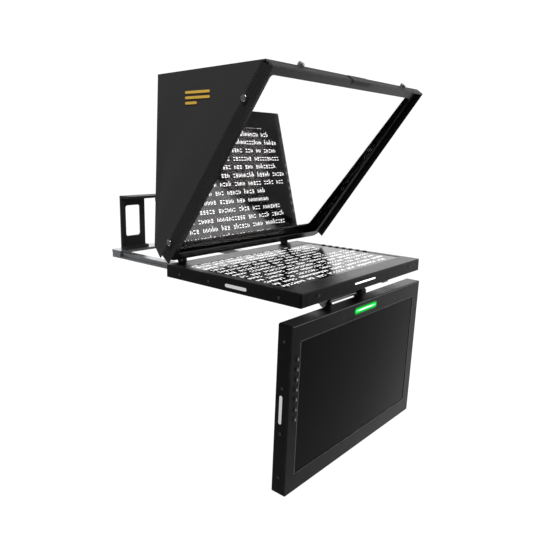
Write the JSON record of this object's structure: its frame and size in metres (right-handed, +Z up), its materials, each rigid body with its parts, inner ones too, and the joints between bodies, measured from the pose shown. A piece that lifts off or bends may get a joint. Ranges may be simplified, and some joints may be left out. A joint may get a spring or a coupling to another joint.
{
  "type": "teleprompter",
  "caption": "Teleprompter head: flat prompter monitor, leaning beam-splitter glass with fabric hood, hanging talent monitor and camera rails.",
  "frame": {"origin": "middle of the underside of the base plate, on the axis of the centre thread", "axes": "+X across the rails, towards the side with the tilt knob; +Y along the rails, from the talent towards the camera; +Z up"},
  "size_m": [0.531, 0.667, 0.7533],
  "materials": {
    "base_paint": "fine textured black powder coat",
    "steel": "plain machined steel",
    "rail_aluminium": "satin anodised extrusion",
    "monitor_black": "fine matte black powder coat",
    "prompter_screen": null,
    "talent_screen": "dark glossy display",
    "circuit_board": "green solder mask with dark parts",
    "white_light": "lit white diffuser",
    "green_light": "lit green diffuser",
    "screw_black": "blackened steel",
    "frame_black": "satin black paint",
    "bracket_black": "satin black paint",
    "knob_black": "moulded black plastic",
    "beam_splitter_glass": "half-mirrored coating on the front face",
    "hood_fabric": "woven black cloth, grey in bright light",
    "webbing": "diagonal woven tape with stitched edges",
    "hook_tape": "hook and loop tape",
    "nickel": "bright nickel plate, knurled",
    "button_plastic": "grey moulded plastic",
    "carriage_paint": "satin dark grey paint"
  },
  "bodies": {
    "base": {"base_plate": "base_paint", "base_bolts": "steel", "rail_left": "rail_aluminium", "rail_right": "rail_aluminium", "prompter_case": "monitor_black", "prompter_bezel": "monitor_black", "prompter_lcd_panel": "prompter_screen", "prompter_board": "circuit_board", "prompter_led_bar": "white_light", "prompter_screws": "screw_black", "hinge_bracket_left": "frame_black", "hinge_bracket_right": "frame_black", "hinge_pins": "steel", "talent_bracket": "bracket_black", "talent_pivot_bolt": "steel"},
    "glass_head": {"frame_left": "frame_black", "frame_right": "frame_black", "frame_top": "frame_black", "frame_bottom": "frame_black", "beam_splitter": "beam_splitter_glass", "glass_clips": "steel", "hood_left": "hood_fabric", "hood_right": "hood_fabric", "hood_top": "hood_fabric", "hood_back": "hood_fabric", "band_left": "webbing", "band_right": "webbing", "band_top": "webbing", "band_tab": "hook_tape", "thumb_screws": "nickel"},
    "talent_monitor": {"talent_hanger": "bracket_black", "talent_case": "monitor_black", "talent_bezel": "monitor_black", "talent_lcd_panel": "talent_screen", "talent_board": "circuit_board", "talent_led_bar": "green_light", "talent_screws": "screw_black"},
    "camera_slider": {"camera_carriage": "rail_aluminium", "camera_riser": "carriage_paint"},
    "tilt_knob": {"talent_tilt_knob": "knob_black"},
    "left_hinge_knob": {"hinge_knob_left": "knob_black"},
    "right_hinge_knob": {"hinge_knob_right": "knob_black"},
    "camera_fixing_screw": {"camera_screw": "knob_black"},
    "slider_clamp": {"carriage_clamp_knob": "knob_black"},
    "prompter_button_1_body": {"prompter_button_1": "button_plastic"},
    "prompter_button_2_body": {"prompter_button_2": "button_plastic"},
    "prompter_button_3_body": {"prompter_button_3": "button_plastic"},
    "prompter_button_4_body": {"prompter_button_4": "button_plastic"},
    "prompter_button_5_body": {"prompter_button_5": "button_plastic"},
    "prompter_button_6_body": {"prompter_button_6": "button_plastic"},
    "prompter_button_7_body": {"prompter_button_7": "button_plastic"},
    "talent_button_1_body": {"talent_button_1": "button_plastic"},
    "talent_button_2_body": {"talent_button_2": "button_plastic"},
    "talent_button_3_body": {"talent_button_3": "button_plastic"},
    "talent_button_4_body": {"talent_button_4": "button_plastic"},
    "talent_button_5_body": {"talent_button_5": "button_plastic"},
    "talent_button_6_body": {"talent_button_6": "button_plastic"},
    "talent_button_7_body": {"talent_button_7": "button_plastic"}
  },
  "joints": [
    {"name": "glass_tilt", "type": "hinge", "parent": "base", "child": "glass_head", "pos_m": [0, -0.024, 0.066], "axis": [1, 0, 0], "range_deg": [-10, 6]},
    {"name": "talent_tilt", "type": "hinge", "parent": "base", "child": "talent_monitor", "pos_m": [0, -0.318, -0.006], "axis": [1, 0, 0], "range_deg": [-15, 15]},
    {"name": "camera_slide", "type": "slide", "parent": "base", "child": "camera_slider", "axis": [0, 1, 0], "range_m": [-0.14, 0]},
    {"name": "tilt_knob_turn", "type": "hinge", "parent": "base", "child": "tilt_knob", "pos_m": [0.07, -0.318, -0.006], "axis": [1, 0, 0], "range_deg": [0, 360]},
    {"name": "left_hinge_knob_turn", "type": "hinge", "parent": "base", "child": "left_hinge_knob", "pos_m": [-0.188, -0.024, 0.066], "axis": [1, 0, 0], "range_deg": [0, 360]},
    {"name": "right_hinge_knob_turn", "type": "hinge", "parent": "base", "child": "right_hinge_knob", "pos_m": [0.188, -0.024, 0.066], "axis": [1, 0, 0], "range_deg": [0, 360]},
    {"name": "camera_screw_turn", "type": "hinge", "parent": "camera_slider", "child": "camera_fixing_screw", "pos_m": [0, 0.257, 0.15], "axis": [0, 0, 1], "continuous": true},
    {"name": "slider_clamp_turn", "type": "hinge", "parent": "camera_slider", "child": "slider_clamp", "pos_m": [0, 0.264, 0.04], "axis": [0, 0, 1], "range_deg": [0, 360]},
    {"name": "prompter_button_1_press", "type": "slide", "parent": "base", "child": "prompter_button_1_body", "axis": [0, 0, -1], "range_m": [0, 0.0008], "stiffness_N_per_m": 600},
    {"name": "prompter_button_2_press", "type": "slide", "parent": "base", "child": "prompter_button_2_body", "axis": [0, 0, -1], "range_m": [0, 0.0008], "stiffness_N_per_m": 600},
    {"name": "prompter_button_3_press", "type": "slide", "parent": "base", "child": "prompter_button_3_body", "axis": [0, 0, -1], "range_m": [0, 0.0008], "stiffness_N_per_m": 600},
    {"name": "prompter_button_4_press", "type": "slide", "parent": "base", "child": "prompter_button_4_body", "axis": [0, 0, -1], "range_m": [0, 0.0008], "stiffness_N_per_m": 600},
    {"name": "prompter_button_5_press", "type": "slide", "parent": "base", "child": "prompter_button_5_body", "axis": [0, 0, -1], "range_m": [0, 0.0008], "stiffness_N_per_m": 600},
    {"name": "prompter_button_6_press", "type": "slide", "parent": "base", "child": "prompter_button_6_body", "axis": [0, 0, -1], "range_m": [0, 0.0008], "stiffness_N_per_m": 600},
    {"name": "prompter_button_7_press", "type": "slide", "parent": "base", "child": "prompter_button_7_body", "axis": [0, 0, -1], "range_m": [0, 0.0008], "stiffness_N_per_m": 600},
    {"name": "talent_button_1_press", "type": "slide", "parent": "talent_monitor", "child": "talent_button_1_body", "axis": [0, 0.9997, 0.0244], "range_m": [0, 0.0008], "stiffness_N_per_m": 600},
    {"name": "talent_button_2_press", "type": "slide", "parent": "talent_monitor", "child": "talent_button_2_body", "axis": [0, 0.9997, 0.0244], "range_m": [0, 0.0008], "stiffness_N_per_m": 600},
    {"name": "talent_button_3_press", "type": "slide", "parent": "talent_monitor", "child": "talent_button_3_body", "axis": [0, 0.9997, 0.0244], "range_m": [0, 0.0008], "stiffness_N_per_m": 600},
    {"name": "talent_button_4_press", "type": "slide", "parent": "talent_monitor", "child": "talent_button_4_body", "axis": [0, 0.9997, 0.0244], "range_m": [0, 0.0008], "stiffness_N_per_m": 600},
    {"name": "talent_button_5_press", "type": "slide", "parent": "talent_monitor", "child": "talent_button_5_body", "axis": [0, 0.9997, 0.0244], "range_m": [0, 0.0008], "stiffness_N_per_m": 600},
    {"name": "talent_button_6_press", "type": "slide", "parent": "talent_monitor", "child": "talent_button_6_body", "axis": [0, 0.9997, 0.0244], "range_m": [0, 0.0008], "stiffness_N_per_m": 600},
    {"name": "talent_button_7_press", "type": "slide", "parent": "talent_monitor", "child": "talent_button_7_body", "axis": [0, 0.9997, 0.0244], "range_m": [0, 0.0008], "stiffness_N_per_m": 600}
  ]
}
